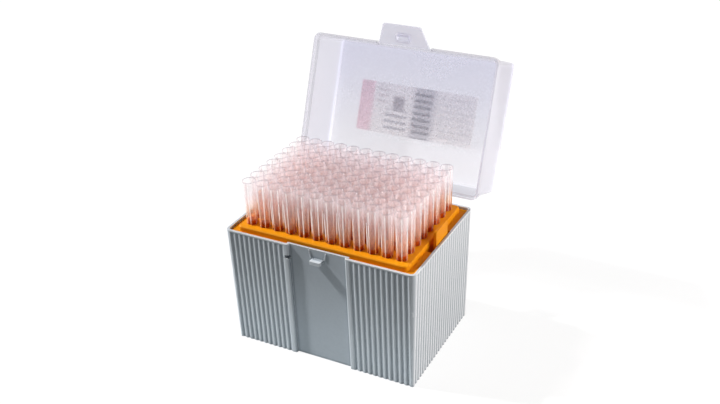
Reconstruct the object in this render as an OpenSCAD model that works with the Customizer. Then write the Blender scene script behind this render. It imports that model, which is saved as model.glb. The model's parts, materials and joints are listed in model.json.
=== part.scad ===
// Hinged rack box of pipette tips: ribbed base, drop-in tip deck, frosted lid
// with a folding latch tab, and fluted tips standing in the deck.
// Frame: origin at the middle of the base's underside, +X to the right along
// the long side, front towards -Y, hinge at the back, +Z up. Millimetres.

/* [Tip grid] */
// Distance between neighbouring tips
pitch = 9; // [7.5:0.1:12]
// Least distance from a tip's axis to the edge of the deck's platform
tip_margin = 5; // [4.7:0.1:7]
// Gap between the rims of neighbouring tips
rim_gap = 0.7; // [0.3:0.05:1.2]

/* [Base] */
// Width of the base over its ribs, at the rim
base_w = 124.8; // [108:0.1:150]
// Depth of the base over its ribs, at the rim
base_d = 85.7; // [74:0.1:110]
// Height of the base from floor to rim
base_h = 79; // [68:0.5:92]
// How far each wall leans in from rim to floor
base_lean = 1.8; // [1:0.1:2.4]
// Radius of the upright corners at the rim
corner_r = 3.4; // [3:0.1:5]
// Width of the rim's top face
rim_t = 1.5; // [1.2:0.1:2]
// Radius of the upright corners inside the rim
inner_r = 2.1; // [2:0.1:3]
// Thickness of the walls below the deck's shelf
wall_t = 2.8; // [2.4:0.1:3.4]
// Thickness of the floor
floor_t = 2; // [1.2:0.1:4]
// Depth of the shelf below the rim, where the deck rests
shelf_drop = 3.2; // [2.4:0.1:5]

/* [Ribs] */
// Distance between neighbouring ribs
rib_pitch = 3.42; // [3:0.02:4]
// Depth of the grooves just below the rim
rib_depth_top = 0.6; // [0.4:0.05:0.8]
// Depth of the grooves at the floor
rib_depth_floor = 0.9; // [0.6:0.05:1.1]
// Height of the plain band at the rim
rim_band = 0.9; // [0.5:0.1:3]

/* [Front panel] */
// How far the panel's floor reaches past the latch tab on each side
panel_side = 1.2; // [1:0.1:4]
// Depth of the recessed panel
panel_recess = 2; // [1.6:0.1:2.2]
// Radius of the panel's upright edges
panel_edge_r = 1.3; // [1:0.1:1.4]
// Thickness of the wall behind the panel
panel_wall_t = 1.2; // [1:0.05:1.3]
// Distance of the notch in the panel's left edge below the rim
notch_drop = 8.7; // [7:0.1:30]
// Side of that notch
notch_s = 2.2; // [1:0.1:3]

/* [Catch] */
// Width of the catch that the latch tab snaps over
catch_w = 6.8; // [4:0.1:9]
// Height of the catch
catch_h = 2; // [1.6:0.1:2.4]
// Reach of the catch out of the panel
catch_reach = 3.8; // [3.6:0.05:4]
// Distance of the catch's top face below the rim
catch_drop = 6.1; // [5.5:0.05:8]
// Drop of the lip at the catch's nose
catch_lip = 0.3; // [0:0.05:0.35]
// Height of the two splayed guide ribs over the catch
guide_t = 0.45; // [0.2:0.05:0.5]

/* [Deck] */
// Width of the flange beside the raised platform
flange_side = 4.6; // [3.5:0.1:6]
// Width of the flange in front of the platform and behind it
flange_front = 2.35; // [2:0.05:4]
// Height of the platform's top above the rim
platform_up = 1.84; // [1:0.02:3]
// Thickness of the platform and of the flange around it
deck_t = 1.5; // [1:0.1:2]
// Radius of the platform's upright corners
platform_r = 3; // [2:0.1:5]
// Bevel around the platform's top
deck_bevel = 0.5; // [0.2:0.1:1]
// Depth of the skirt below the platform's top
deck_skirt = 10.8; // [8:0.2:14]
// Clearance all round between a tip's body and its hole
hole_gap = 0.55; // [0.2:0.05:0.8]
// Clearance all round between deck and base
deck_gap = 0.3; // [0.1:0.05:0.5]

/* [Deck grips] */
// Length of each upright finger grip
grip_w = 16.6; // [10:0.2:24]
// Thickness of the finger grips
grip_t = 1.7; // [1:0.1:2]
// Height of the finger grips above the platform
grip_up = 7.2; // [2:0.1:12]
// Length of the gap in the flange that a grip stands in
grip_slot_w = 26.8; // [25:0.2:34]
// Gap between a grip's outer face and the inside of the rim
grip_gap = 0.6; // [0.4:0.05:1]
// Radius of the grips' upper corners
grip_r = 1.5; // [0.5:0.1:3]

/* [Tips] */
// Length of a tip
tip_len = 100; // [88:0.5:120]
// Gap between the tips' ends and the floor
tip_end_gap = 7.44; // [2:0.02:12]
// Thickness of the tip's wall at its mouth
tip_wall = 0.6; // [0.4:0.05:0.8]
// How far the collar narrows from the mouth to its lower edge
collar_taper = 0.25; // [0:0.01:0.4]
// Width of the shoulder under the collar
shoulder_w = 0.4; // [0.2:0.05:0.6]
// Outer radius of the body where it enters the deck
body_r = 2.6; // [2.2:0.05:2.9]
// How far the flutes reach over the edge of the hole they rest on
seat_lap = 0.4; // [0.2:0.05:0.6]
// Length of the smooth collar below the mouth
collar_h = 9; // [5:0.5:14]
// Number of flutes on a tip
flutes = 6; // [3:1:8]
// Thickness of a flute
flute_t = 0.55; // [0.3:0.05:0.8]
// Outer radius of the drawn-out end
end_r = 0.55; // [0.45:0.05:0.9]
// Radius of the hole in that end
orifice_r = 0.28; // [0.2:0.02:0.35]

/* [Lid] */
// Gap between the tips' rims and the inside of the shut lid's top
tip_lid_gap = 3.41; // [1:0.01:12]
// Depth of the skirt that reaches down over the base's rim
skirt_drop = 3.5; // [3.2:0.1:4]
// Height of the skirt's outer step above the base's rim
skirt_rise = 1; // [0.5:0.1:2]
// Thickness of the skirt
skirt_t = 1; // [0.8:0.05:1.2]
// Clearance all round between skirt and base
lid_gap = 0.3; // [0.2:0.05:0.4]
// Thickness of the lid's walls
lid_wall_t = 1.25; // [1:0.05:1.3]
// Thickness of the lid's top
lid_top_t = 1.6; // [1:0.1:1.8]
// How far the lid's walls lean in from skirt to top
lid_lean = 0.6; // [0.4:0.05:0.8]
// Bevel around the lid's top
lid_bevel = 0.9; // [0.4:0.1:1]
// Slope over the skirt's outer step
step_h = 0.7; // [0.4:0.1:1.2]

/* [Hinge] */
// Gap between the knuckles and the skirt of the shut lid
hinge_gap = 0.35; // [0.2:0.05:0.6]
// Distance of the hinge axis below the base's rim
hinge_drop = 0.8; // [0.6:0.05:0.9]
// Distance of each hinge from the middle of the box
hinge_x = 36; // [24:0.5:44]
// Radius of the hinge pins
pin_r = 1.5; // [1.2:0.05:1.6]
// Running clearance between pin and clip
pin_gap = 0.08; // [0.03:0.01:0.1]
// Outer radius of the ears and of the clips
knuckle_r = 2.6; // [2.3:0.05:3]
// Width of each clip
clip_w = 9; // [6:0.5:12]
// Thickness of each ear
ear_t = 2; // [1.5:0.1:3]
// Side clearance between clip and ear
clip_gap = 0.4; // [0.2:0.05:0.6]
// Angle through which the lid is open
lid_open = 111.3; // [90:0.1:120]

/* [Latch tab] */
// Width of the tab at its crease
tab_w = 34.8; // [28:0.2:35]
// Width of the tab at its free end
tab_end_w = 25.8; // [20:0.2:28]
// Length of the tab from the crease
tab_len = 14.5; // [12:0.1:16]
// Thickness of the tab
tab_t = 1; // [0.8:0.05:1]
// Radius of the tab's corners
tab_r = 2; // [1:0.1:4]
// Height of the tab's crease above the lid's lower edge
crease_up = 1.5; // [1.2:0.1:1.8]
// Clearance between the tab's root and the lid
crease_gap = 0.1; // [0.05:0.01:0.12]
// Gap between the tab's root and the skirt beside it
root_side = 0.1; // [0.05:0.05:0.2]
// Clearance on each side of the catch in the tab's pocket
slot_side = 0.6; // [0.4:0.05:1.5]
// Clearance above and below the catch in the tab's pocket
slot_gap = 0.45; // [0.3:0.05:0.6]
// Width of the raised frame around the pocket
frame_w = 1.1; // [0.6:0.1:1.6]
// Height of that frame on the tab's inner face
frame_t = 0.7; // [0.3:0.05:0.9]
// Clearance between the catch's nose and the pocket's floor
nose_gap = 0.3; // [0.2:0.05:0.6]
// Thickness of the pocket's floor
pocket_floor = 0.6; // [0.4:0.05:1]
// Angle of the tab below the skirt's plane
tab_fold = 34; // [0:1:88]

/* [Label] */
// Length of the label on the lid
label_w = 84; // [40:1:100]
// Depth of the label on the lid
label_d = 34; // [20:1:60]
// Radius of the label's corners
label_r = 1; // [0.5:0.1:3]
// Offset of the label from the lid's middle
label_x = -1; // [-8:0.5:8]
// Thickness of the label
label_t = 0.2; // [0.1:0.05:0.4]

/* [Hidden] */
$fn = 64;
cut = 0.5;                 // how far a cutter runs past the face it opens
sink = 0.3;                // how deep a joined piece is rooted in its carrier

// Inside of the rim, and the deck that fits in it
rim_in_w = base_w - 2 * rim_t;
rim_in_d = base_d - 2 * rim_t;
flange_w = rim_in_w - 2 * deck_gap;
flange_d = rim_in_d - 2 * deck_gap;
flange_r = inner_r - deck_gap;
platform_w = flange_w - 2 * flange_side;
platform_d = flange_d - 2 * flange_front;

// Tip grid: as many tips as the platform holds, and one node for each column
columns = 1 + floor((platform_w - 2 * tip_margin) / pitch);
rows = 1 + floor((platform_d - 2 * tip_margin) / pitch);
TIP_NODES = [for (i = [1 : columns]) str("tips_column_", i < 10 ? "0" : "", i)];

// Base
shelf_z = base_h - shelf_drop;
lean_angle = atan(base_lean / base_h);
foot_w = base_w - 2 * base_lean;
foot_d = base_d - 2 * base_lean;
foot_r = corner_r - base_lean;
panel_half = tab_w / 2 + panel_side;
panel_end = panel_half + panel_edge_r;
backing_lap = 0.4;         // how far the wall behind the panel reaches past it
backing_half = panel_end + backing_lap;
well_lean = base_lean * shelf_z / base_h;
well_w = base_w - 2 * wall_t - 2 * well_lean;
well_d = base_d - 2 * wall_t - 2 * well_lean;
well_r = inner_r - well_lean;
pocket_skin = 0.2;         // left between a grip's pocket and the inside of the rim
pocket_half = grip_slot_w / 2 + deck_gap;
pocket_drop = 1;           // depth of a pocket below its grip

// Ribs: a crest is an arc that meets its neighbours in a groove
crest_skim = 0.05;         // crests lie this far inside the plain faces
crest_over = 0.1;          // how much higher a crest's arc is than its grooves are deep
crest_rise = rib_depth_floor + crest_over;
crest_r = (pow(rib_pitch / 2, 2) + pow(crest_rise, 2)) / (2 * crest_rise);
edge_post = 1.5;           // plain strip beside the panel
rib_lap = 0.1;             // how far the last crest may reach into a round corner
side_ribs = floor((base_d / 2 - corner_r + rib_pitch / 2) / rib_pitch);
back_ribs = floor((base_w / 2 - corner_r + rib_pitch / 2) / rib_pitch);
first_crest = panel_end + edge_post;
front_ribs = 1 + floor((base_w / 2 - corner_r - first_crest + rib_lap) / rib_pitch);

// Catch
catch_z = base_h - catch_drop;
nose_y = panel_recess - catch_reach - base_d / 2;
nose_w = 0.9;              // thickness of the lip at the catch's nose
guide_w = 0.7;             // width of a guide rib
guide_x0 = 0.8;            // from the catch's side to a guide rib's foot
guide_x1 = 1.8;            // and to its head
guide_h = 5.1;             // height of the guide ribs

// Deck
top_z = base_h + platform_up;
skirt_z = top_z - deck_skirt;
hole_r = body_r + hole_gap;
grip_x = rim_in_w / 2 - grip_gap;

// Tips
end_z = floor_t + tip_end_gap;
mouth_z = end_z + tip_len;
collar_z = mouth_z - collar_h;
mouth_r = (pitch - rim_gap) / 2;
collar_r = mouth_r - collar_taper;
neck_r = collar_r - shoulder_w;
seat_r = hole_r + seat_lap;
body_wall = 0.5;           // thickness of the body's wall at the deck
shoulder_h = 0.4;          // height of the slope under the collar
mouth_lead = 0.4;          // height of the lead-in at the mouth
flute_root = 0.25;         // how deep a flute is rooted in the body's wall
flute_in = 0.1;            // how far a flute stays inside the collar's lower edge
first_turn = 16;           // the tips stand turned at odds: the first one's turn,
column_turn = 17;          // and what each further column
row_turn = 29;             // and row adds to it

// Lid, drawn closed on the base
skirt_z0 = base_h - skirt_drop;
skirt_z1 = base_h + skirt_rise;
lid_z1 = mouth_z + tip_lid_gap + lid_top_t;
skirt_w = base_w + 2 * (lid_gap + skirt_t);
skirt_d = base_d + 2 * (lid_gap + skirt_t);
skirt_r = corner_r + lid_gap + skirt_t;
step_in = lid_gap + skirt_t;
shell_h = lid_z1 - lid_bevel - skirt_z1;
room_w = base_w - 2 * lid_wall_t;
room_d = base_d - 2 * lid_wall_t;
room_r = corner_r - lid_wall_t;
room_h = lid_z1 - lid_top_t - base_h;
room_lean = lid_lean * room_h / shell_h;
recess_half = tab_w / 2 + root_side;
recess_slope = 2.3;        // run of the skirt's slopes beside the latch tab
bump_clear = lid_gap - crest_skim + panel_edge_r;

// Latch tab
tab_root_r = tab_t / 2;
tab_y = -base_d / 2 - crease_gap - tab_root_r;
tab_z = skirt_z0 + crease_up;
slot_w = catch_w + 2 * slot_side;
slot_near = tab_z - catch_z - slot_gap;
slot_far = tab_z - catch_z + catch_h + catch_lip + slot_gap;
slot_floor = nose_y - nose_gap - tab_y;
boss_draft = 0.3;          // how far the pocket's outside leans in

// Hinge
hinge_back = lid_gap + skirt_t + hinge_gap + knuckle_r;
hinge_y = base_d / 2 + hinge_back;
hinge_z = base_h - hinge_drop;
ear_x = clip_w / 2 + clip_gap + ear_t / 2;
ear_gap = 0.5;             // between the lid's skirt and an ear's root
ear_top = skirt_z0 - ear_gap;
ear_drop = 17;             // depth below the rim at which an ear's web meets the wall
ear_foot = base_h - ear_drop;
ear_root = 1.5;            // how deep the ears are rooted in the wall
heel_gap = 0.04;           // between the clips' heels and the back wall
heel_w = 3;
heel_relief = 0.06;        // keeps a heel's leading corner off the wall
arm_top = 1.7;             // top of a clip's arm above the axis
clip_snap = 0.75;          // how much narrower a clip's mouth is than the pin
clip_mouth = 2 * pin_r - clip_snap;
sweep_gap = 0.2;           // left as the skirt's lower edge swings past the wall
relief_z = hinge_z - sqrt(pow(hinge_back - sweep_gap, 2) - pow(hinge_back - lid_gap, 2));

// A rectangle with round corners.
module rounded(w, d, r) {
    square([w - 2 * r, d], center = true);
    square([w, d - 2 * r], center = true);
    for (x = [-1, 1], y = [-1, 1])
        translate([x * (w / 2 - r), y * (d / 2 - r)])
            circle(r);
}

// An upright block with four drafted walls and round corners: w0 by d0 with
// corner radius r0 at the bottom, larger all round by grow at the top.
module drafted_block(w0, d0, r0, h, grow) {
    over = 4 * abs(grow) + 4;
    intersection() {
        rotate([90, 0, 0])
            linear_extrude(2 * d0, center = true)
                polygon([[-w0 / 2, 0], [w0 / 2, 0], [w0 / 2 + grow, h], [-w0 / 2 - grow, h]]);
        linear_extrude(h)
            square([w0 + over, d0 - 2 * r0], center = true);
    }
    intersection() {
        rotate([90, 0, 90])
            linear_extrude(2 * w0, center = true)
                polygon([[-d0 / 2, 0], [d0 / 2, 0], [d0 / 2 + grow, h], [-d0 / 2 - grow, h]]);
        linear_extrude(h)
            square([w0 - 2 * r0, d0 + over], center = true);
    }
    for (x = [-1, 1], y = [-1, 1])
        translate([x * (w0 / 2 - r0), y * (d0 / 2 - r0), 0])
            cylinder(r1 = r0, r2 = r0 + grow, h = h);
}

// Puts a child on one leaning face of the base: x along the face, y into the
// wall, z up the face. turn is 0 at the front, 90 at the right, and so on.
module on_face(turn, half) {
    rotate([0, 0, turn])
        translate([0, base_lean - half, 0])
            rotate([lean_angle, 0, 0])
                children();
}

// The grooves beside a row of crests, deeper towards the floor.
module grooves(from_x, count) {
    intersection() {
        translate([0, 0, -cut])
            linear_extrude(base_h - rim_band + cut)
                difference() {
                    translate([from_x, -cut])
                        square([(count - 1) * rib_pitch, rib_depth_floor + 2 * cut]);
                    for (i = [0 : count - 1])
                        translate([from_x + i * rib_pitch, crest_r + crest_skim])
                            circle(crest_r);
                }
        rotate([90, 0, 90])
            linear_extrude(2 * base_w, center = true)
                polygon([[-2 * cut, -2 * cut], [rib_depth_floor, -2 * cut], [rib_depth_floor, 0],
                    [rib_depth_top, base_h], [-2 * cut, base_h]]);
    }
}

// Plan of the recess in the front, with rounded upright edges.
module panel_profile() {
    difference() {
        translate([-panel_end, -cut])
            square([2 * panel_end, panel_recess + cut]);
        for (side = [-1, 1]) {
            translate([side * panel_end, panel_edge_r - crest_skim])
                circle(panel_edge_r);
            translate([side * panel_end - panel_edge_r, panel_edge_r - crest_skim])
                square([2 * panel_edge_r, panel_recess]);
        }
    }
}

module base_tub() {
    difference() {
        drafted_block(foot_w, foot_d, foot_r, base_h, base_lean);
        difference() {
            union() {
                difference() {
                    drafted_block(well_w, well_d, well_r, shelf_z, well_lean);
                    translate([0, 0, floor_t / 2 - cut])
                        cube([base_w, base_d, floor_t + 2 * cut], center = true);
                }
                translate([0, 0, shelf_z])
                    linear_extrude(shelf_drop + cut)
                        rounded(rim_in_w, rim_in_d, inner_r);
            }
            panel_backing();
        }
        grip_pockets();
        on_face(0, base_d / 2) {
            grooves(first_crest, front_ribs);
            mirror([1, 0, 0])
                grooves(first_crest, front_ribs);
            translate([0, 0, -cut])
                linear_extrude(base_h + 2 * cut)
                    panel_profile();
            translate([-panel_half - notch_s / 2, 0, base_h - notch_drop])
                cube([notch_s + 2 * cut, 2 * notch_s, notch_s], center = true);
        }
        for (turn = [90, 270])
            on_face(turn, base_w / 2)
                grooves((0.5 - side_ribs) * rib_pitch, 2 * side_ribs);
        on_face(180, base_d / 2)
            grooves((0.5 - back_ribs) * rib_pitch, 2 * back_ribs);
    }
}

// The wall behind the recessed panel.
module panel_backing() {
    rotate([90, 0, 90])
        linear_extrude(2 * backing_half, center = true)
            polygon([[base_lean - base_d / 2, 0],
                [base_lean - base_d / 2 + panel_recess + panel_wall_t, 0],
                [panel_recess + panel_wall_t - base_d / 2, base_h],
                [panel_recess + panel_wall_t - base_d / 2, base_h + 2 * cut],
                [-base_d / 2, base_h + 2 * cut]]);
}

// Hollows in the side walls that let the deck's grips spring outwards.
module grip_pockets() {
    for (side = [-1, 1])
        translate([side * (rim_in_w / 2 - pocket_skin - wall_t / 2), 0,
            (shelf_z + skirt_z - pocket_drop + cut) / 2])
            cube([wall_t, 2 * pocket_half, shelf_z - skirt_z + pocket_drop + cut], center = true);
}

module catch() {
    root_y = -base_d / 2 + panel_recess + sink;
    low_z = catch_z - catch_h;
    rotate([90, 0, 90])
        linear_extrude(catch_w, center = true)
            polygon([[nose_y, low_z - catch_lip], [nose_y + nose_w, low_z - catch_lip],
                [nose_y + nose_w + catch_lip, low_z], [root_y, low_z],
                [root_y, catch_z], [nose_y, catch_z]]);
    for (side = [0, 1])
        mirror([side, 0, 0])
            on_face(0, base_d / 2)
                translate([catch_w / 2, panel_recess + sink, catch_z])
                    rotate([90, 0, 0])
                        linear_extrude(guide_t + sink)
                            polygon([[guide_x0, 0], [guide_x0 + guide_w, 0],
                                [guide_x1 + guide_w, guide_h], [guide_x1, guide_h]]);
}

// One hinge on the base: two ears and the pin between them, on the axis.
module hinge_ears() {
    wall_y = -hinge_back;
    foot_y = wall_y - base_lean * (base_h - ear_foot) / base_h;
    foot_h = ear_foot - hinge_z;
    web_r = knuckle_r - crest_skim;
    reach = norm([foot_y, foot_h]);
    aim = atan2(-foot_h, -foot_y) - asin(web_r / reach);
    run = sqrt(pow(reach, 2) - pow(web_r, 2));
    for (side = [-1, 1])
        translate([side * ear_x, 0, 0])
            rotate([90, 0, 90])
                linear_extrude(ear_t, center = true) {
                    circle(knuckle_r);
                    polygon([[0, 0], [-web_r, 0], [-web_r, ear_top - hinge_z],
                        [wall_y - ear_root, ear_top - hinge_z], [wall_y - ear_root, foot_h],
                        [foot_y, foot_h], [foot_y + run * cos(aim), foot_h + run * sin(aim)]]);
                }
    rotate([0, 90, 0])
        cylinder(r = pin_r, h = 2 * ear_x, center = true);
}

module base() {
    color("gainsboro") {
        base_tub();
        catch();
        for (side = [-1, 1])
            translate([side * hinge_x, hinge_y, hinge_z])
                hinge_ears();
    }
}

// An upright finger grip, joined to the platform by a bend at its foot.
module grip() {
    grip_h = top_z + grip_up - skirt_z;
    translate([grip_x - grip_t, 0, skirt_z])
        rotate([90, 0, 90])
            linear_extrude(grip_t) {
                translate([-grip_w / 2, 0])
                    square([grip_w, grip_h - grip_r]);
                translate([grip_r - grip_w / 2, 0])
                    square([grip_w - 2 * grip_r, grip_h]);
                for (side = [-1, 1])
                    translate([side * (grip_w / 2 - grip_r), grip_h - grip_r])
                        circle(grip_r);
            }
    translate([platform_w / 2 - sink, -grip_w / 2, skirt_z])
        cube([grip_x - grip_t / 2 - platform_w / 2 + sink, grip_w, deck_t]);
}

module deck() {
    notch_y = panel_recess + panel_wall_t + deck_gap;
    color("darkorange") {
        difference() {
            union() {
                translate([0, 0, skirt_z])
                    linear_extrude(deck_skirt - deck_bevel)
                        rounded(platform_w, platform_d, platform_r);
                translate([0, 0, top_z - deck_bevel])
                    drafted_block(platform_w, platform_d, platform_r, deck_bevel, -deck_bevel);
                translate([0, 0, shelf_z])
                    linear_extrude(deck_t)
                        difference() {
                            rounded(flange_w, flange_d, flange_r);
                            translate([0, -base_d / 2])
                                square([2 * (backing_half + deck_gap), 2 * notch_y], center = true);
                            for (side = [-1, 1])
                                translate([side * flange_w / 2, 0])
                                    square([2 * (flange_side + cut), grip_slot_w], center = true);
                        }
            }
            translate([0, 0, skirt_z - cut])
                linear_extrude(deck_skirt - deck_t + cut)
                    rounded(platform_w - 2 * deck_t, platform_d - 2 * deck_t, platform_r - deck_t);
            for (i = [0 : columns - 1], j = [0 : rows - 1])
                translate([(i - (columns - 1) / 2) * pitch, (j - (rows - 1) / 2) * pitch, skirt_z])
                    cylinder(r = hole_r, h = deck_skirt + cut);
        }
        for (side = [0, 1])
            mirror([side, 0, 0])
                grip();
    }
}

// Carries what is drawn on the closed lid to the open lid.
module opened() {
    translate([0, hinge_y, hinge_z])
        rotate([-lid_open, 0, 0])
            translate([0, -hinge_y, -hinge_z])
                children();
}

// Plan of what the skirt leaves free in front of the latch tab.
module recess_profile(floor_y) {
    polygon([[-recess_half, floor_y], [recess_half, floor_y], [recess_half, -base_d / 2],
        [recess_half + recess_slope, -skirt_d / 2], [recess_half + recess_slope, -base_d],
        [-recess_half - recess_slope, -base_d], [-recess_half - recess_slope, -skirt_d / 2],
        [-recess_half, -base_d / 2]]);
}

// Plan of the skirt's inside: it steps in behind the latch tab, and slopes
// past the rounded edges of the base's panel.
module skirt_room_profile() {
    front_y = -base_d / 2 - lid_gap;
    bump_y = -room_d / 2;
    round_y = panel_edge_r - crest_skim - base_d / 2;
    bump_x = panel_end - bump_clear * sqrt(2) + round_y - bump_y;
    foot_x = bump_x + bump_y - front_y + cut;
    difference() {
        rounded(skirt_w - 2 * skirt_t, skirt_d - 2 * skirt_t, skirt_r - skirt_t);
        polygon([[-foot_x, front_y - cut], [-bump_x, bump_y], [bump_x, bump_y],
            [foot_x, front_y - cut]]);
    }
}

// A hinge clip on the lid, about the axis: it snaps over the pin through its
// mouth, and its heel meets the base's back when the lid is fully open.
module hinge_clip() {
    heel = hinge_back - heel_gap;
    root = hinge_back - lid_gap - skirt_t / 2;
    rotate([90, 0, 90])
        linear_extrude(clip_w, center = true)
            difference() {
                union() {
                    circle(knuckle_r);
                    translate([-root, relief_z - hinge_z])
                        square([root, arm_top + hinge_z - relief_z]);
                    rotate(180 + lid_open) {
                        square([heel, heel_w / 2]);
                        intersection() {
                            circle(heel - heel_relief);
                            translate([0, -heel_w / 2])
                                square([heel, heel_w]);
                        }
                    }
                }
                circle(pin_r + pin_gap);
                rotate(45)
                    translate([0, -clip_mouth / 2])
                        square([2 * knuckle_r, clip_mouth]);
            }
}

module lid_shell() {
    difference() {
        union() {
            translate([0, 0, skirt_z0])
                linear_extrude(skirt_z1 - skirt_z0)
                    difference() {
                        rounded(skirt_w, skirt_d, skirt_r);
                        recess_profile(-base_d / 2);
                    }
            difference() {
                translate([0, 0, skirt_z1])
                    drafted_block(skirt_w, skirt_d, skirt_r, step_h, -step_in);
                translate([0, 0, skirt_z1 - cut])
                    linear_extrude(step_h + 2 * cut)
                        recess_profile(-base_d / 2 + lid_wall_t / 2);
            }
            translate([0, 0, skirt_z1])
                drafted_block(base_w, base_d, corner_r, shell_h, -lid_lean);
            translate([0, 0, skirt_z1 + shell_h])
                drafted_block(base_w - 2 * lid_lean, base_d - 2 * lid_lean, corner_r - lid_lean,
                    lid_bevel, -lid_bevel);
        }
        translate([0, 0, skirt_z0 - cut])
            linear_extrude(skirt_drop + cut)
                skirt_room_profile();
        translate([0, 0, base_h - cut])
            linear_extrude(2 * cut)
                rounded(room_w, room_d, room_r);
        translate([0, 0, base_h])
            drafted_block(room_w, room_d, room_r, room_h, -room_lean);
        translate([0, base_d, relief_z / 2])
            cube([2 * base_w, base_d + 2 * corner_r, relief_z], center = true);
    }
}

module lid() {
    color([0.86, 0.88, 0.92, 0.45])
        opened() {
            lid_shell();
            for (side = [-1, 1])
                translate([side * hinge_x, hinge_y, hinge_z])
                    hinge_clip();
        }
}

// Plan of the latch tab: x along the crease, y away from it.
module tab_profile() {
    slant = (tab_w - tab_end_w) / (2 * tab_len);
    slope = sqrt(1 + pow(slant, 2));
    round_y = tab_len - tab_r;
    round_x = tab_w / 2 - slant * round_y - tab_r * slope;
    for (side = [0, 1])
        mirror([side, 0, 0]) {
            polygon([[-cut, -tab_t], [tab_w / 2, -tab_t], [tab_w / 2, 0],
                [round_x + tab_r / slope, round_y + tab_r * slant / slope],
                [round_x, round_y], [round_x, tab_len], [-cut, tab_len]]);
            translate([round_x, round_y])
                circle(tab_r);
        }
}

module latch_tab() {
    slot_l = slot_far - slot_near;
    slot_mid = (slot_far + slot_near) / 2;
    boss_w = slot_w + 2 * frame_w;
    boss_l = slot_l + 2 * frame_w;
    boss_z = slot_floor - pocket_floor;
    color([0.84, 0.86, 0.92, 0.6])
        opened()
            translate([0, tab_y, tab_z])
                rotate([180 + tab_fold, 0, 0])
                    difference() {
                        union() {
                            intersection() {
                                rotate([90, 0, 90])
                                    linear_extrude(tab_w + 2 * cut, center = true) {
                                        circle(tab_root_r);
                                        translate([0, -tab_root_r])
                                            square([tab_len + cut, tab_t]);
                                    }
                                linear_extrude(2 * tab_t, center = true)
                                    tab_profile();
                            }
                            translate([0, slot_mid, boss_z])
                                drafted_block(boss_w - 2 * boss_draft, boss_l - 2 * boss_draft,
                                    frame_w - boss_draft, -boss_z, boss_draft);
                            linear_extrude(tab_root_r + frame_t)
                                translate([0, slot_mid])
                                    rounded(boss_w, boss_l, frame_w);
                        }
                        translate([-slot_w / 2, slot_near, slot_floor])
                            cube([slot_w, slot_l, tab_root_r + frame_t - slot_floor + cut]);
                    }
}

module label() {
    color("lightpink")
        opened()
            translate([label_x, 0, lid_z1])
                linear_extrude(label_t)
                    rounded(label_w, label_d, label_r);
}

module tip() {
    rotate_extrude()
        polygon([[orifice_r, end_z], [end_r, end_z], [body_r, top_z],
            [neck_r, collar_z - shoulder_h], [collar_r, collar_z], [mouth_r, mouth_z],
            [mouth_r - tip_wall / 2, mouth_z], [mouth_r - tip_wall, mouth_z - mouth_lead],
            [body_r - body_wall, top_z]]);
    for (i = [0 : flutes - 1])
        rotate([90, 0, (i + 0.5) * 360 / flutes])
            linear_extrude(flute_t, center = true)
                polygon([[body_r - flute_root, top_z], [seat_r, top_z],
                    [collar_r - flute_in, collar_z], [collar_r - flute_in, collar_z + shoulder_h],
                    [neck_r - flute_root, collar_z + shoulder_h]]);
}

module tips_column(i) {
    color([0.93, 0.88, 0.87, 0.5])
        for (j = [0 : rows - 1])
            translate([(i - (columns - 1) / 2) * pitch, (j - (rows - 1) / 2) * pitch, 0])
                rotate([0, 0, first_turn + (column_turn * i + row_turn * j) % (360 / flutes)])
                    tip();
}

base();
deck();
lid();
latch_tab();
label();
for (i = [0 : columns - 1])
    tips_column(i);
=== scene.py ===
"""Box of pipette tips: the finishes, small surface detail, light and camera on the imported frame."""
import json
import math

import bpy
from mathutils import Matrix, Vector

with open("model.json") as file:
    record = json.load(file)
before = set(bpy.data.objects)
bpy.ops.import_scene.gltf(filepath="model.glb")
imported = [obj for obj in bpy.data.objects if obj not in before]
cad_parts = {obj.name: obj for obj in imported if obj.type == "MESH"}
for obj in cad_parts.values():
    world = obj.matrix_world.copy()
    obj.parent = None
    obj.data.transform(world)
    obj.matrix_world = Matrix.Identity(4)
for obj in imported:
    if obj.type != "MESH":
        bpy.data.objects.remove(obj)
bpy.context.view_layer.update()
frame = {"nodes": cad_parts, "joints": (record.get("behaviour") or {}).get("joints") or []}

MM = 0.001  # metres

LID_JOINT = next(joint for joint in frame["joints"] if joint["name"] == "lid_hinge")
HINGE = Vector(LID_JOINT["pos_m"])
SHUT_TURN = math.radians(LID_JOINT["range_deg"][1])


def highest(node_names):
    """The height in millimetres of the highest corner of these nodes' boxes."""
    objects = [frame["nodes"][name] for name in node_names]
    return max((o.matrix_world @ Vector(corner)).z for o in objects for corner in o.bound_box) / MM


# The part's own measures, in millimetres and degrees.
TIP_NODES = [name for name in frame["nodes"] if name.startswith("tips_column")]
TIP_TOP = highest(TIP_NODES)
TIP_PITCH = 9.0
COLUMNS, ROWS = 12, 8
DECK_TOP, NECK_TOP = 80.84, 100.4        # a tip's body shows between these heights, with its collar above
TIP_BODY, TIP_NECK = 2.6, 3.5            # radius of the body at the deck and at the collar
FLUTES = 6                               # on each tip
FIRST_TURN, COLUMN_TURN, ROW_TURN = 46.0, 17.0, 29.0  # of the first tip, and added per column and per row
BASE_HALF_W, BASE_HALF_D, BASE_H = 62.4, 42.85, 79.0
BASE_LEAN = 1.8                          # how far the walls lean in at the floor
DOTS_OUT, DOTS_UP = 58.0, 81.5           # the grips' dots lie further from the middle and higher than these
LID_TOP = 114.45                         # of the shut lid

# Sizes of surface detail and of the painted highlights and shade. Bump depths, bevels and reaches are in metres,
# as the shader nodes take them.
DOT_PITCH = 1.3                          # millimetres between the dots on the grips
DOT_DEPTH = 0.00025
BEAD_DEPTH = 0.0004
GROOVE_SHADE_REACH = 0.002
EDGE_HIGHLIGHT_RADIUS = 0.0008
BASE_GRAIN_DEPTH, BASE_EDGE = 0.00004, 0.00035
DECK_GRAIN_DEPTH, DECK_EDGE = 0.00003, 0.0003

PLASTIC_IOR = 1.49

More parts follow.
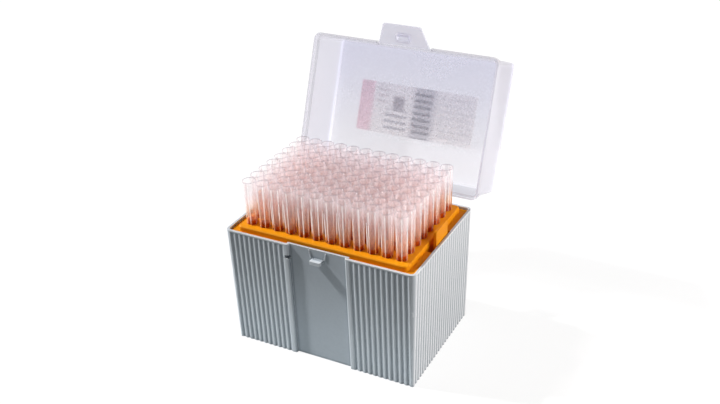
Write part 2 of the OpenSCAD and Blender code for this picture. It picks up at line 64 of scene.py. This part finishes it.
# The camera: turn about +Z from the front, height above the horizon, roll, lens on a 36 mm sensor.
CAMERA_AT = Vector((0.24840, -0.45091, 0.37104))
CAMERA_TURN = math.radians(28.15)
CAMERA_RISE = math.radians(28.63)
CAMERA_ROLL = math.radians(-1.88)
CAMERA_LENS = 48.77
SENSOR_WIDTH = 36

# The studio.
WORLD_LIGHT = 0.03                       # strength of the world on the object, where 1 is the seen white
WORLD_TONE = (0.74, 0.91, 1.0, 1.0)
FLOOR_GREY = 0.15
FLOOR_GLOW = 0.885                       # what the floor adds to its lit grey where it is seen
FLOOR_HALF = 6.0
CLEAR_BOUNCES = 64                       # a ray crosses many walls of clear tips


class Nodes:
    """A material's node tree, with short calls to add and link nodes."""

    def __init__(self, name):
        self.material = bpy.data.materials.new(name)
        self.material.use_nodes = True
        self.tree = self.material.node_tree
        self.tree.nodes.clear()
        self.out = self.tree.nodes.new("ShaderNodeOutputMaterial")

    def add(self, kind, **values):
        """A node of that kind. Values named like its attributes set them, and the rest set or link its inputs."""
        node = self.tree.nodes.new("ShaderNode" + kind)
        for key, value in values.items():
            if hasattr(node, key):
                setattr(node, key, value)
            else:
                self.put(node.inputs[key.replace("_", " ")], value)
        return node

    def put(self, socket, value):
        """Links a socket to another, or sets its value."""
        if isinstance(value, bpy.types.NodeSocket):
            self.tree.links.new(value, socket)
        else:
            socket.default_value = value

    def math(self, operation, a, b=0.0, c=0.0, clamp=False):
        """The result of a Math node on up to three numbers or sockets."""
        node = self.tree.nodes.new("ShaderNodeMath")
        node.operation = operation
        node.use_clamp = clamp
        for socket, value in zip(node.inputs, (a, b, c)):
            self.put(socket, value)
        return node.outputs[0]

    def times(self, a, b):
        """The product of two values."""
        return self.math("MULTIPLY", a, b)

    def plus_masks(self, value, *parts):
        """The value plus each mask times its amount, with the last sum held to 0..1."""
        for count, (mask, amount) in enumerate(parts, start=1):
            value = self.math("ADD", value, self.times(mask, amount), clamp=count == len(parts))
        return value

    def blend(self, factor, a, b):
        """The colour a where the factor is 0 and b where it is 1."""
        node = self.tree.nodes.new("ShaderNodeMix")
        node.data_type = "RGBA"
        self.put(node.inputs["Factor"], factor)
        self.put(node.inputs[6], a)
        self.put(node.inputs[7], b)
        return node.outputs[2]

    def ramp(self, value, low, high, to_low=0.0, to_high=1.0, smooth=True):
        """The value carried from low..high to to_low..to_high, and held at both ends."""
        node = self.tree.nodes.new("ShaderNodeMapRange")
        node.interpolation_type = "SMOOTHSTEP" if smooth else "LINEAR"
        for socket, number in zip(node.inputs, (value, low, high, to_low, to_high)):
            self.put(socket, number)
        return node.outputs[0]

    def noise(self, where, scale, detail=2.0):
        """Soft random patches, from 0 to 1 about 0.5. A higher scale makes them smaller."""
        return self.add("TexNoise", Vector=where, Scale=scale, Detail=detail, Roughness=0.5).outputs["Fac"]

    def within(self, value, low, high, edge):
        """1 where the value lies between low and high, fading over edge."""
        rise = self.ramp(value, low - edge / 2, low + edge / 2, smooth=False)
        fall = self.ramp(value, high - edge / 2, high + edge / 2, smooth=False)
        return self.math("SUBTRACT", rise, fall, clamp=True)

    def box(self, x, y, x_range, y_range, edge):
        """1 inside a rectangle in x and y."""
        return self.times(self.within(x, *x_range, edge), self.within(y, *y_range, edge))

    def mix(self, factor, a, b):
        """Shader a where the factor is 0 and shader b where it is 1."""
        node = self.tree.nodes.new("ShaderNodeMixShader")
        self.put(node.inputs[0], factor)
        self.tree.links.new(a.outputs[0], node.inputs[1])
        self.tree.links.new(b.outputs[0], node.inputs[2])
        return node

    def split(self, vector):
        """A vector's x, y and z."""
        node = self.add("SeparateXYZ", Vector=vector)
        return node.outputs[0], node.outputs[1], node.outputs[2]

    def wave(self, value, pitch):
        """A row of soft humps from 0 to 1, one to each pitch."""
        turned = self.math("COSINE", self.times(value, 2 * math.pi / pitch))
        return self.math("MULTIPLY_ADD", turned, 0.5, 0.5)

    def off_grid(self, value, pitch):
        """How far a value lies from the nearest line half a pitch off the grid's lines."""
        part = self.math("FRACT", self.math("DIVIDE", value, pitch))
        return self.times(self.math("SUBTRACT", part, 0.5), pitch)

    def grid_count(self, value, pitch, cells):
        """Which of the grid's cells a value lies in, counted from 0."""
        return self.math("ADD", self.math("FLOOR", self.math("DIVIDE", value, pitch)), cells / 2)

    def finish(self, shader):
        """The material, with this shader as its surface."""
        self.tree.links.new(shader.outputs[0], self.out.inputs["Surface"])
        return self.material


def grey(value):
    """A grey as a colour."""
    return (value, value, value, 1.0)


WHITE = grey(1.0)


def place(nodes):
    """The frame's coordinates in millimetres, fixed to the piece."""
    at = nodes.add("TexCoord").outputs["Object"]
    return nodes.add("VectorMath", operation="SCALE", Vector=at, Scale=1 / MM).outputs[0]


def shut_place(nodes):
    """Coordinates in millimetres as on the shut lid: x to the right, y to the back, z up."""
    return nodes.add("VectorRotate", rotation_type="X_AXIS", Vector=place(nodes),
                     Center=HINGE / MM, Angle=SHUT_TURN).outputs[0]


def moulded_bump(nodes, where, grain, depth, edge_radius):
    """The fine grain of a moulded face, with softly rounded edges."""
    fine = nodes.noise(where, grain, detail=4.0)
    node = nodes.add("Bump", Strength=0.6, Distance=depth, Height=fine)
    bevel = nodes.add("Bevel", samples=4, Radius=edge_radius)
    nodes.put(node.inputs["Normal"], bevel.outputs[0])
    return node.outputs[0]


def edge_highlight(nodes, radius):
    """1 along the sharp edges of a piece and 0 on its flat faces; a painted highlight goes there."""
    rounded = nodes.add("Bevel", samples=4, Radius=radius).outputs[0]
    true = nodes.add("NewGeometry").outputs["True Normal"]
    same = nodes.add("VectorMath", operation="DOT_PRODUCT", Vector=rounded)
    nodes.put(same.inputs[1], true)
    return nodes.ramp(same.outputs["Value"], 0.90, 0.99, 1.0, 0.0)


def groove_shade(nodes, reach):
    """1 deep in each groove between ribs, where little light gets in, and 0 on open faces; painted shade goes
    there.
    """
    open_share = nodes.add("AmbientOcclusion", samples=4, Distance=reach).outputs["AO"]
    return nodes.ramp(open_share, 0.60, 0.95, 1.0, 0.0)


def crest_highlight(nodes, where):
    """1 on the outermost faces of the base's leaning walls, such as the tops of the ribs, and 0 further in; a
    painted highlight goes there.
    """
    x, y, z = nodes.split(where)
    past = nodes.math("MAXIMUM", nodes.math("SUBTRACT", nodes.math("ABSOLUTE", x), BASE_HALF_W),
                      nodes.math("SUBTRACT", nodes.math("ABSOLUTE", y), BASE_HALF_D))
    past = nodes.math("ADD", past, nodes.ramp(z, 0.0, BASE_H, BASE_LEAN, 0.0, smooth=False))
    return nodes.ramp(past, -0.40, -0.05)


def base_plastic():
    """Light grey plastic with a few darker specks, with painted shade deep in each groove between its ribs and
    painted highlights on the ribs' edges and outer faces.
    """
    nodes = Nodes("base_plastic")
    where = place(nodes)
    cloud = nodes.noise(where, 0.02, detail=3.0)
    speck = nodes.noise(where, 0.6, detail=3.0)
    colour = nodes.blend(cloud, (0.485, 0.535, 0.58, 1), (0.545, 0.593, 0.637, 1))
    colour = nodes.blend(nodes.ramp(speck, 0.35, 0.75, 0.0, 0.25), colour, (0.435, 0.485, 0.53, 1))
    # Painted shade: the base colour is darkened deep in each groove between the ribs.
    dark = nodes.times(groove_shade(nodes, GROOVE_SHADE_REACH), 0.8)
    colour = nodes.blend(dark, colour, (0.20, 0.24, 0.28, 1))
    # Painted highlight: the ribs' edges and outer faces are lightened.
    painted_highlight = nodes.math("MAXIMUM", edge_highlight(nodes, EDGE_HIGHLIGHT_RADIUS), nodes.times(crest_highlight(nodes, where), 0.42))
    colour = nodes.blend(painted_highlight, colour, (0.92, 0.95, 0.98, 1))
    rough = nodes.ramp(speck, 0.3, 0.7, 0.36, 0.48)
    normal = moulded_bump(nodes, where, 2.5, BASE_GRAIN_DEPTH, BASE_EDGE)
    return nodes.finish(nodes.add("BsdfPrincipled", Base_Color=colour, Roughness=rough, IOR=PLASTIC_IOR,
                                  Specular_IOR_Level=0.36, Normal=normal))


def deck_plastic():
    """Orange plastic, thin enough that some light comes through it. The grips' faces carry rows of small dots."""
    nodes = Nodes("deck_plastic")
    where = place(nodes)
    x, y, z = nodes.split(where)
    cloud = nodes.noise(where, 0.05, detail=3.0)
    speck = nodes.noise(where, 1.2, detail=3.0)
    colour = nodes.blend(cloud, (0.90, 0.34, 0.004, 1), (0.94, 0.38, 0.008, 1))
    rough = nodes.ramp(speck, 0.3, 0.7, 0.40, 0.52)
    on_grip = nodes.times(nodes.ramp(nodes.math("ABSOLUTE", x), DOTS_OUT, DOTS_OUT + 0.2),
                          nodes.ramp(z, DOTS_UP, DOTS_UP + 0.5))
    dots = nodes.times(nodes.wave(y, DOT_PITCH), nodes.wave(z, DOT_PITCH))
    height = nodes.times(nodes.ramp(dots, 0.1, 0.7), on_grip)
    grain = moulded_bump(nodes, where, 3.0, DECK_GRAIN_DEPTH, DECK_EDGE)
    relief = nodes.add("Bump", Strength=0.9, Distance=DOT_DEPTH, Height=height, Normal=grain)
    solid = nodes.add("BsdfPrincipled", Base_Color=colour, Roughness=rough, IOR=PLASTIC_IOR,
                      Specular_IOR_Level=0.12, Normal=relief.outputs[0])
    through = nodes.add("BsdfTranslucent", Color=(0.95, 0.22, 0.004, 1))
    return nodes.finish(nodes.mix(0.16, solid, through))


def facing(nodes):
    """0 on a face seen square, 1 on one seen edge on."""
    return nodes.add("LayerWeight", Blend=0.5).outputs["Facing"]


def clear_plastic(nodes, tint, milk, share, rough, normal=None, mirror=0.6, shine=0.04, sheen=WHITE):
    """Clear plastic: light passes straight through and takes the tint, a share of it is scattered by the plastic's
    own milk, and the face mirrors a little, more where it is seen edge on."""
    clear = nodes.add("BsdfTransparent", Color=tint)
    bright = nodes.add("BsdfDiffuse", Color=milk)
    glow = nodes.add("BsdfTranslucent", Color=milk)
    gloss = nodes.add("BsdfAnisotropic", Color=sheen, Roughness=rough)
    if normal is not None:
        for node in (bright, gloss):
            nodes.put(node.inputs["Normal"], normal)
    body = nodes.mix(share, clear, nodes.mix(0.5, bright, glow))
    edge = nodes.math("POWER", facing(nodes), 5.0)
    return nodes.finish(nodes.mix(nodes.math("MULTIPLY_ADD", edge, mirror, shine), body, gloss))


def over_flutes(nodes, x, y, off_x, off_y):
    """1 in line with a tip's flutes and 0 between them, whatever the tip's own turn is."""
    column = nodes.grid_count(x, TIP_PITCH, COLUMNS)
    row = nodes.grid_count(y, TIP_PITCH, ROWS)
    turn = nodes.math("MULTIPLY_ADD", column, math.radians(COLUMN_TURN), math.radians(FIRST_TURN))
    turn = nodes.math("MULTIPLY_ADD", row, math.radians(ROW_TURN), turn)
    angle = nodes.math("SUBTRACT", nodes.math("ARCTAN2", off_y, off_x), turn)
    return nodes.ramp(nodes.math("COSINE", nodes.times(angle, FLUTES)), 0.76, 0.96)


def tip_plastic():
    """Clear plastic with grey rims. Its rosy tint, turning orange near the deck, is the deck's light painted in; a
    dark red band at the feet is painted shade, and the flutes and the collar above them carry painted highlights.
    """
    nodes = Nodes("tip_plastic")
    where = place(nodes)
    x, y, z = nodes.split(where)
    cloud = nodes.noise(where, 0.11)
    off_x, off_y = nodes.off_grid(x, TIP_PITCH), nodes.off_grid(y, TIP_PITCH)
    radius = nodes.math("SQRT", nodes.math("ADD", nodes.times(off_x, off_x), nodes.times(off_y, off_y)))

    # Where on a tip a point lies: each mask is 1 there and 0 elsewhere.
    body = nodes.ramp(z, DECK_TOP, NECK_TOP, TIP_BODY, TIP_NECK, smooth=False)
    # Painted highlight: the flutes scatter more light, in a whiter milk, and mirror more strongly.
    flute_highlight = nodes.times(nodes.ramp(nodes.math("SUBTRACT", radius, body), 0.04, 0.18),
                        nodes.within(z, DECK_TOP - 1.0, NECK_TOP - 0.8, 0.4))
    # Painted highlight: stripes on the collar, in line with the flutes, mirror more strongly.
    collar_highlight = nodes.times(over_flutes(nodes, x, y, off_x, off_y),
                         nodes.within(z, NECK_TOP - 0.6, TIP_TOP - 1.2, 0.8))
    # The painted highlights on the flutes and collar are given as a stronger mirror.
    shine = nodes.math("MAXIMUM", nodes.times(flute_highlight, 0.52), nodes.times(collar_highlight, 0.33))
    # Painted light: the deck's orange glow, full at the deck and gone 17 mm above it.
    deck_glow = nodes.ramp(z, DECK_TOP, DECK_TOP + 17.0, 1.0, 0.0)
    # Painted shade: a dark red band just above the deck, standing in for the holes' shaded insides seen through
    # the feet.
    foot_shade = nodes.times(nodes.within(z, DECK_TOP - 0.3, DECK_TOP + 2.8, 0.25),
                       nodes.math("SUBTRACT", 1.0, flute_highlight))
    collar = nodes.ramp(z, NECK_TOP - 0.5, NECK_TOP + 0.5)
    below = nodes.ramp(z, DECK_TOP - 0.6, DECK_TOP - 0.1, 1.0, 0.0)
    rim = nodes.ramp(z, TIP_TOP - 0.45, TIP_TOP - 0.30)
    outline = nodes.math("POWER", facing(nodes), 4.0)

    # The tint of light that passes through.
    # The rosy tint is painted light as well: it stands in for the deck's light passed through many tips.
    tint = nodes.blend(collar, (0.998, 0.964, 0.964, 1), (1.0, 0.983, 0.984, 1))
    tint = nodes.blend(deck_glow, tint, (1.0, 0.92, 0.83, 1))
    tint = nodes.blend(outline, tint, (0.86, 0.84, 0.86, 1))
    tint = nodes.blend(foot_shade, tint, (0.70, 0.28, 0.12, 1))
    tint = nodes.blend(rim, tint, (0.89, 0.87, 0.89, 1))

    # The colour of light that the plastic scatters.
    milk = nodes.blend(deck_glow, (0.985, 0.965, 0.978, 1), (1.0, 0.60, 0.36, 1))
    milk = nodes.blend(foot_shade, milk, (0.66, 0.12, 0.008, 1))
    milk = nodes.blend(flute_highlight, milk, nodes.blend(deck_glow, (1.0, 0.98, 0.985, 1), (1.0, 0.92, 0.87, 1)))
    milk = nodes.blend(rim, milk, (0.50, 0.47, 0.50, 1))

    # The share of light that it scatters.
    edge = nodes.math("POWER", facing(nodes), 3.0)
    share = nodes.ramp(edge, 0.0, 1.0, 0.055, nodes.ramp(collar, 0.0, 1.0, 0.50, 0.27), smooth=False)
    share = nodes.times(share, nodes.ramp(cloud, 0.3, 0.7, 0.9, 1.12))
    share = nodes.plus_masks(share, (flute_highlight, 0.08), (collar, 0.065), (deck_glow, 0.19), (foot_shade, 0.50),
                             (below, 0.30), (rim, 0.14))
    # The gloss turns orange near the deck, a painted reflection of it.
    return clear_plastic(nodes, tint, milk, share, nodes.ramp(cloud, 0.3, 0.7, 0.19, 0.26),
                         mirror=nodes.ramp(collar, 0.0, 1.0, 0.6, 0.25),
                         shine=nodes.math("ADD", shine, 0.04),
                         sheen=nodes.blend(deck_glow, WHITE, (1.0, 0.84, 0.73, 1)))


def lid_plastic(name, wall_tint, wall_milk_and_shade):
    """Frosted lavender plastic, beaded on the inside of its top, and milkier towards the hinge."""
    nodes = Nodes(name)
    where = shut_place(nodes)
    x, y, z = nodes.split(where)
    cells = nodes.add("TexVoronoi", feature="SMOOTH_F1", Vector=where, Scale=0.55, Smoothness=0.4)
    beads = nodes.ramp(cells.outputs["Distance"], 0.15, 0.65, 1.0, 0.0)

    # Where the beads show: on the top, in patches away from the hinge, and all round the label.
    top = nodes.ramp(z, LID_TOP - 3.0, LID_TOP - 2.0)
    patch = nodes.ramp(nodes.noise(where, 0.04, detail=1.0), 0.40, 0.60, 0.1, 0.8)
    upper = nodes.times(nodes.ramp(y, -20.0, 22.0, 1.0, 0.05), nodes.ramp(x, 10.0, 50.0, 1.0, 0.3))
    round_label = nodes.box(x, y, (-40, 44), (-20, 18), 8.0)
    beaded = nodes.times(top, nodes.math("MAXIMUM", nodes.times(patch, upper), round_label))

    # The top near the hinge, and the side walls. On the lid, the walls' milk is painted darker than the top's, as
    # painted shade where the side lamps light them.
    low = nodes.times(nodes.ramp(y, -40.0, 35.0), nodes.ramp(z, LID_TOP - 4.0, LID_TOP - 2.0))
    wall = nodes.ramp(z, LID_TOP - 6.0, LID_TOP - 4.0, 1.0, 0.0)
    tint = nodes.blend(low, (0.84, 0.84, 0.91, 1), (0.95, 0.95, 0.97, 1))
    tint = nodes.blend(wall, tint, wall_tint)
    milk = nodes.blend(low, (0.83, 0.83, 0.90, 1), (0.96, 0.96, 0.985, 1))
    milk = nodes.blend(wall, milk, wall_milk_and_shade)

    edge = nodes.math("POWER", facing(nodes), 2.0)
    share = nodes.ramp(edge, 0.0, 1.0, 0.24, 0.75, smooth=False)
    swing = nodes.times(nodes.math("SUBTRACT", beads, 0.5), nodes.times(beaded, 0.16))
    share = nodes.math("ADD", share, nodes.times(low, 0.14))
    share = nodes.math("ADD", share, swing, clamp=True)
    fine = nodes.noise(where, 3.0, detail=3.0)
    height = nodes.math("ADD", nodes.times(fine, 0.10), nodes.times(beads, beaded))
    relief = nodes.add("Bump", Strength=0.8, Distance=BEAD_DEPTH, Height=height).outputs[0]
    return clear_plastic(nodes, tint, milk, share, 0.30, relief)


def label_film():
    """A thin printed label without any words: a pink band, grey blocks and ruled lines."""
    nodes = Nodes("label_film")
    where = shut_place(nodes)
    blur = nodes.noise(where, 0.9, detail=1.0)
    x, y, _ = nodes.split(where)
    x = nodes.math("MULTIPLY_ADD", nodes.math("SUBTRACT", blur, 0.5), 2.4, x)
    y = nodes.math("MULTIPLY_ADD", nodes.math("SUBTRACT", nodes.noise(where, 0.8), 0.5), 2.4, y)

    rules = nodes.ramp(nodes.wave(y, 4.2), 0.50, 0.75)
    solid = 1.0
    blocks = (
        # range in x, range in y, soft edge, ink, strength, pattern
        ((-43.5, -33.0), (-18, 18), 2.0, (0.98, 0.82, 0.855, 1), 1.0, solid),
        ((-3, 12), (-20, 20), 5.0, (0.74, 0.73, 0.76, 1), 0.8, solid),
        ((-3, 10), (-14, 17), 1.5, (0.36, 0.36, 0.40, 1), 0.6, rules),
        ((-18, -10), (-9, 0), 2.0, (0.55, 0.52, 0.56, 1), 0.75, solid),
        ((-23, -7), (0, 15), 1.5, (0.45, 0.45, 0.50, 1), 0.55, rules),
        ((-30, -22), (-13, -4), 2.0, (0.70, 0.64, 0.66, 1), 0.5, rules),
        ((14, 40), (-15, 14), 2.0, (0.66, 0.66, 0.70, 1), 0.2, rules),
    )
    colour = (1.0, 0.98, 0.97, 1)
    for x_range, y_range, edge, ink, strength, pattern in blocks:
        part = nodes.times(nodes.box(x, y, x_range, y_range, edge), pattern)
        colour = nodes.blend(nodes.times(part, strength), colour, ink)
    film = nodes.mix(0.5, nodes.add("BsdfDiffuse", Color=colour), nodes.add("BsdfTranslucent", Color=colour))
    return nodes.finish(nodes.mix(0.45, nodes.add("BsdfTransparent", Color=colour), film))


def paint(node_names, material):
    """Puts a material in every slot of these CAD nodes."""
    for name in node_names:
        for slot in frame["nodes"][name].material_slots:
            slot.link = "OBJECT"
            slot.material = material


def seen_white(tree):
    """1 for rays from the camera, mirror-like faces and clear plastic, and 0 for the light on the object."""
    path = tree.nodes.new("ShaderNodeLightPath")
    most = path.outputs["Is Camera Ray"]
    for name in ("Is Glossy Ray", "Is Transmission Ray"):
        node = tree.nodes.new("ShaderNodeMath")
        node.operation = "MAXIMUM"
        tree.links.new(most, node.inputs[0])
        tree.links.new(path.outputs[name], node.inputs[1])
        most = node.outputs[0]
    return most


def make_world(ambient):
    """A world that is seen as white and lights the object with a little cool light."""
    world = bpy.data.worlds.new("studio")
    bpy.context.scene.world = world
    world.use_nodes = True
    tree = world.node_tree
    background = tree.nodes["Background"]
    seen = seen_white(tree)
    tone = tree.nodes.new("ShaderNodeMix")
    tone.data_type = "RGBA"
    tree.links.new(seen, tone.inputs["Factor"])
    tone.inputs[6].default_value = WORLD_TONE
    tone.inputs[7].default_value = WHITE
    tree.links.new(tone.outputs[2], background.inputs["Color"])
    span = tree.nodes.new("ShaderNodeMapRange")
    tree.links.new(seen, span.inputs["Value"])
    span.inputs["To Min"].default_value = ambient
    span.inputs["To Max"].default_value = 1.0
    tree.links.new(span.outputs[0], background.inputs["Strength"])


def make_floor(half, paper_grey, seen_share):
    """A grey floor that keeps the object's shadow and is seen as nearly white."""
    mesh = bpy.data.meshes.new("floor")
    corners = [(-half, -half, 0), (half, -half, 0), (half, half, 0), (-half, half, 0)]
    mesh.from_pydata(corners, [], [(0, 1, 2, 3)])
    floor = bpy.data.objects.new("floor", mesh)
    bpy.context.collection.objects.link(floor)
    nodes = Nodes("floor_paper")
    paper = nodes.add("BsdfDiffuse", Color=grey(paper_grey))
    glow = nodes.add("Emission", Color=WHITE)
    nodes.put(glow.inputs["Strength"], nodes.times(seen_white(nodes.tree), seen_share))
    both = nodes.tree.nodes.new("ShaderNodeAddShader")
    nodes.tree.links.new(paper.outputs[0], both.inputs[0])
    nodes.tree.links.new(glow.outputs[0], both.inputs[1])
    mesh.materials.append(nodes.finish(both))


def aim(direction):
    """A turn that points a lamp's -Z the opposite way to direction."""
    return direction.to_track_quat("Z", "Y").to_euler()


def make_sun(name, towards, strength, spread):
    """A sun that stands in this direction from the object. Its spread is the angle it fills, in degrees."""
    light = bpy.data.lights.new(name, "SUN")
    light.energy = strength
    light.angle = math.radians(spread)
    lamp = bpy.data.objects.new(name, light)
    lamp.rotation_euler = aim(Vector(towards))
    bpy.context.collection.objects.link(lamp)


def make_panel(name, at, size, power, look_at=(0, 0, 0.07), tone=(1, 1, 1)):
    """A rectangular soft lamp that the camera doesn't see. Places and sizes are in metres, power in watts."""
    light = bpy.data.lights.new(name, "AREA")
    light.color = tone
    light.shape = "RECTANGLE"
    light.size, light.size_y = size
    light.energy = power
    lamp = bpy.data.objects.new(name, light)
    lamp.location = at
    lamp.rotation_euler = aim(Vector(at) - Vector(look_at))
    lamp.visible_camera = False
    bpy.context.collection.objects.link(lamp)


def make_camera():
    """The camera at the photo's place and angle."""
    a, e, r = CAMERA_TURN, CAMERA_RISE, CAMERA_ROLL
    back = Vector((math.sin(a) * math.cos(e), -math.cos(a) * math.cos(e), math.sin(e)))
    right = Vector((math.cos(a), math.sin(a), 0))
    up = back.cross(right)
    across = right * math.cos(r) + up * math.sin(r)
    along = up * math.cos(r) - right * math.sin(r)
    data = bpy.data.cameras.new("camera")
    data.lens = CAMERA_LENS
    data.sensor_width = SENSOR_WIDTH
    camera = bpy.data.objects.new("camera", data)
    turn = Matrix((across, along, back)).transposed().to_4x4()
    camera.matrix_world = Matrix.Translation(CAMERA_AT) @ turn
    bpy.context.collection.objects.link(camera)
    bpy.context.scene.camera = camera


paint(["base"], base_plastic())
paint(["deck"], deck_plastic())
paint(TIP_NODES, tip_plastic())
# The lid's wall milk is darker than its top's: painted shade.
paint(["lid"], lid_plastic("lid_plastic", (0.90, 0.895, 0.925, 1), (0.62, 0.62, 0.655, 1)))
paint(["latch_tab"], lid_plastic("tab_plastic", (0.88, 0.88, 0.93, 1), (0.84, 0.84, 0.90, 1)))
paint(["label"], label_film())

scene = bpy.context.scene
scene.view_settings.view_transform = "Standard"
scene.cycles.transparent_max_bounces = CLEAR_BOUNCES
make_world(WORLD_LIGHT)
make_floor(FLOOR_HALF, FLOOR_GREY, FLOOR_GLOW)
make_sun("key", towards=(-8.75, -2.0, 9.6), strength=3.2, spread=3.0)
make_panel("right_box", at=(1.0, 0.25, 0.35), size=(0.8, 0.8), power=14.3, tone=(1.0, 0.935, 0.895))
make_panel("left_box", at=(-1.0, -0.10, 0.16), size=(0.25, 0.7), power=7.5)
make_panel("low_fill", at=(-0.01, -0.092, 0.005), size=(0.26, 0.008), power=0.024,
           look_at=(-0.01, -0.04, 0.005), tone=(0.85, 0.95, 1.0))
make_camera()
